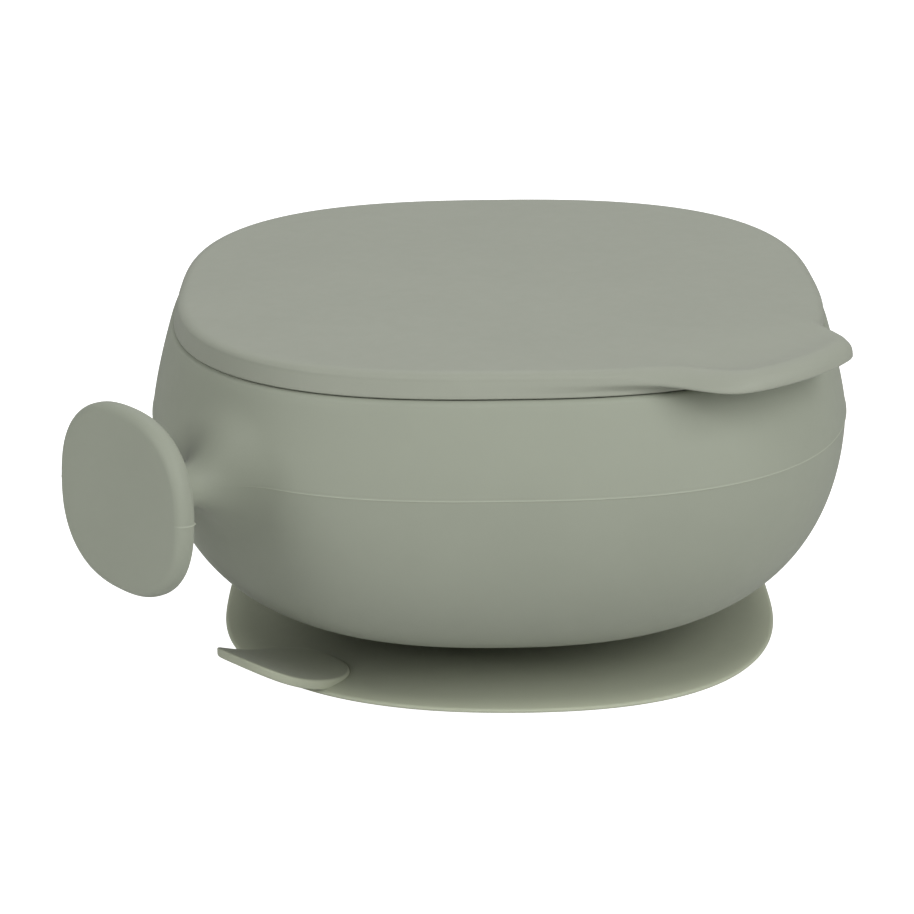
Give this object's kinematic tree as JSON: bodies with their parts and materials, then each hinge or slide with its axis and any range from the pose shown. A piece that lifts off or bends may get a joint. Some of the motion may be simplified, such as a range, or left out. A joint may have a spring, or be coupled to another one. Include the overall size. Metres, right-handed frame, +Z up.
{
  "type": "suction bowl",
  "caption": "Rounded square silicone feeding bowl on a suction base, with a side handle, a release tab and a lift-off lid with a pull tab.",
  "frame": {"origin": "middle of the footprint, handle and tabs included, on the table; the bowl's own axis is 10.9 mm along +X and 3.1 mm along +Y from it", "axes": "+Z up; the handle points along -X, the lid's pull tab along -Y, so the bowl's flat sides run at 45 degrees to X and Y"},
  "size_m": [0.158, 0.1422, 0.0638],
  "materials": {
    "bowl_silicone": "matt sage green-grey silicone",
    "base_silicone": "matt sage green-grey silicone, thin and flexible at the rim",
    "lid_silicone": "matt sage green-grey silicone"
  },
  "bodies": {
    "suction_base": {"suction_rim": "base_silicone"},
    "bowl": {"bowl_shell": "bowl_silicone", "handle_stem": "bowl_silicone", "handle_paddle": "bowl_silicone", "suction_hub": "base_silicone"},
    "release_tab": {"release_tab": "base_silicone"},
    "lid": {"lid": "lid_silicone"},
    "lid_corner": {"lid_corner": "lid_silicone"}
  },
  "joints": [
    {"name": "suction_press", "type": "slide", "parent": "suction_base", "child": "bowl", "axis": [0, 0, -1], "range_m": [0, 0.0018], "stiffness_N_per_m": 5000, "springref_m": -0.0006},
    {"name": "release_tab_lift", "type": "hinge", "parent": "suction_base", "child": "release_tab", "pos_m": [-0.03247, 0.00306, 0.00175], "axis": [0, 1, 0], "range_deg": [0, 20], "stiffness_Nm_per_rad": 0.02},
    {"name": "lid_lift", "type": "slide", "parent": "bowl", "child": "lid", "axis": [0, 0, 1], "range_m": [0, 0.06]},
    {"name": "lid_peel", "type": "hinge", "parent": "lid", "child": "lid_corner", "pos_m": [0.01093, -0.04094, 0.0638], "axis": [-1, 0, 0], "range_deg": [0, 30], "stiffness_Nm_per_rad": 0.05}
  ]
}
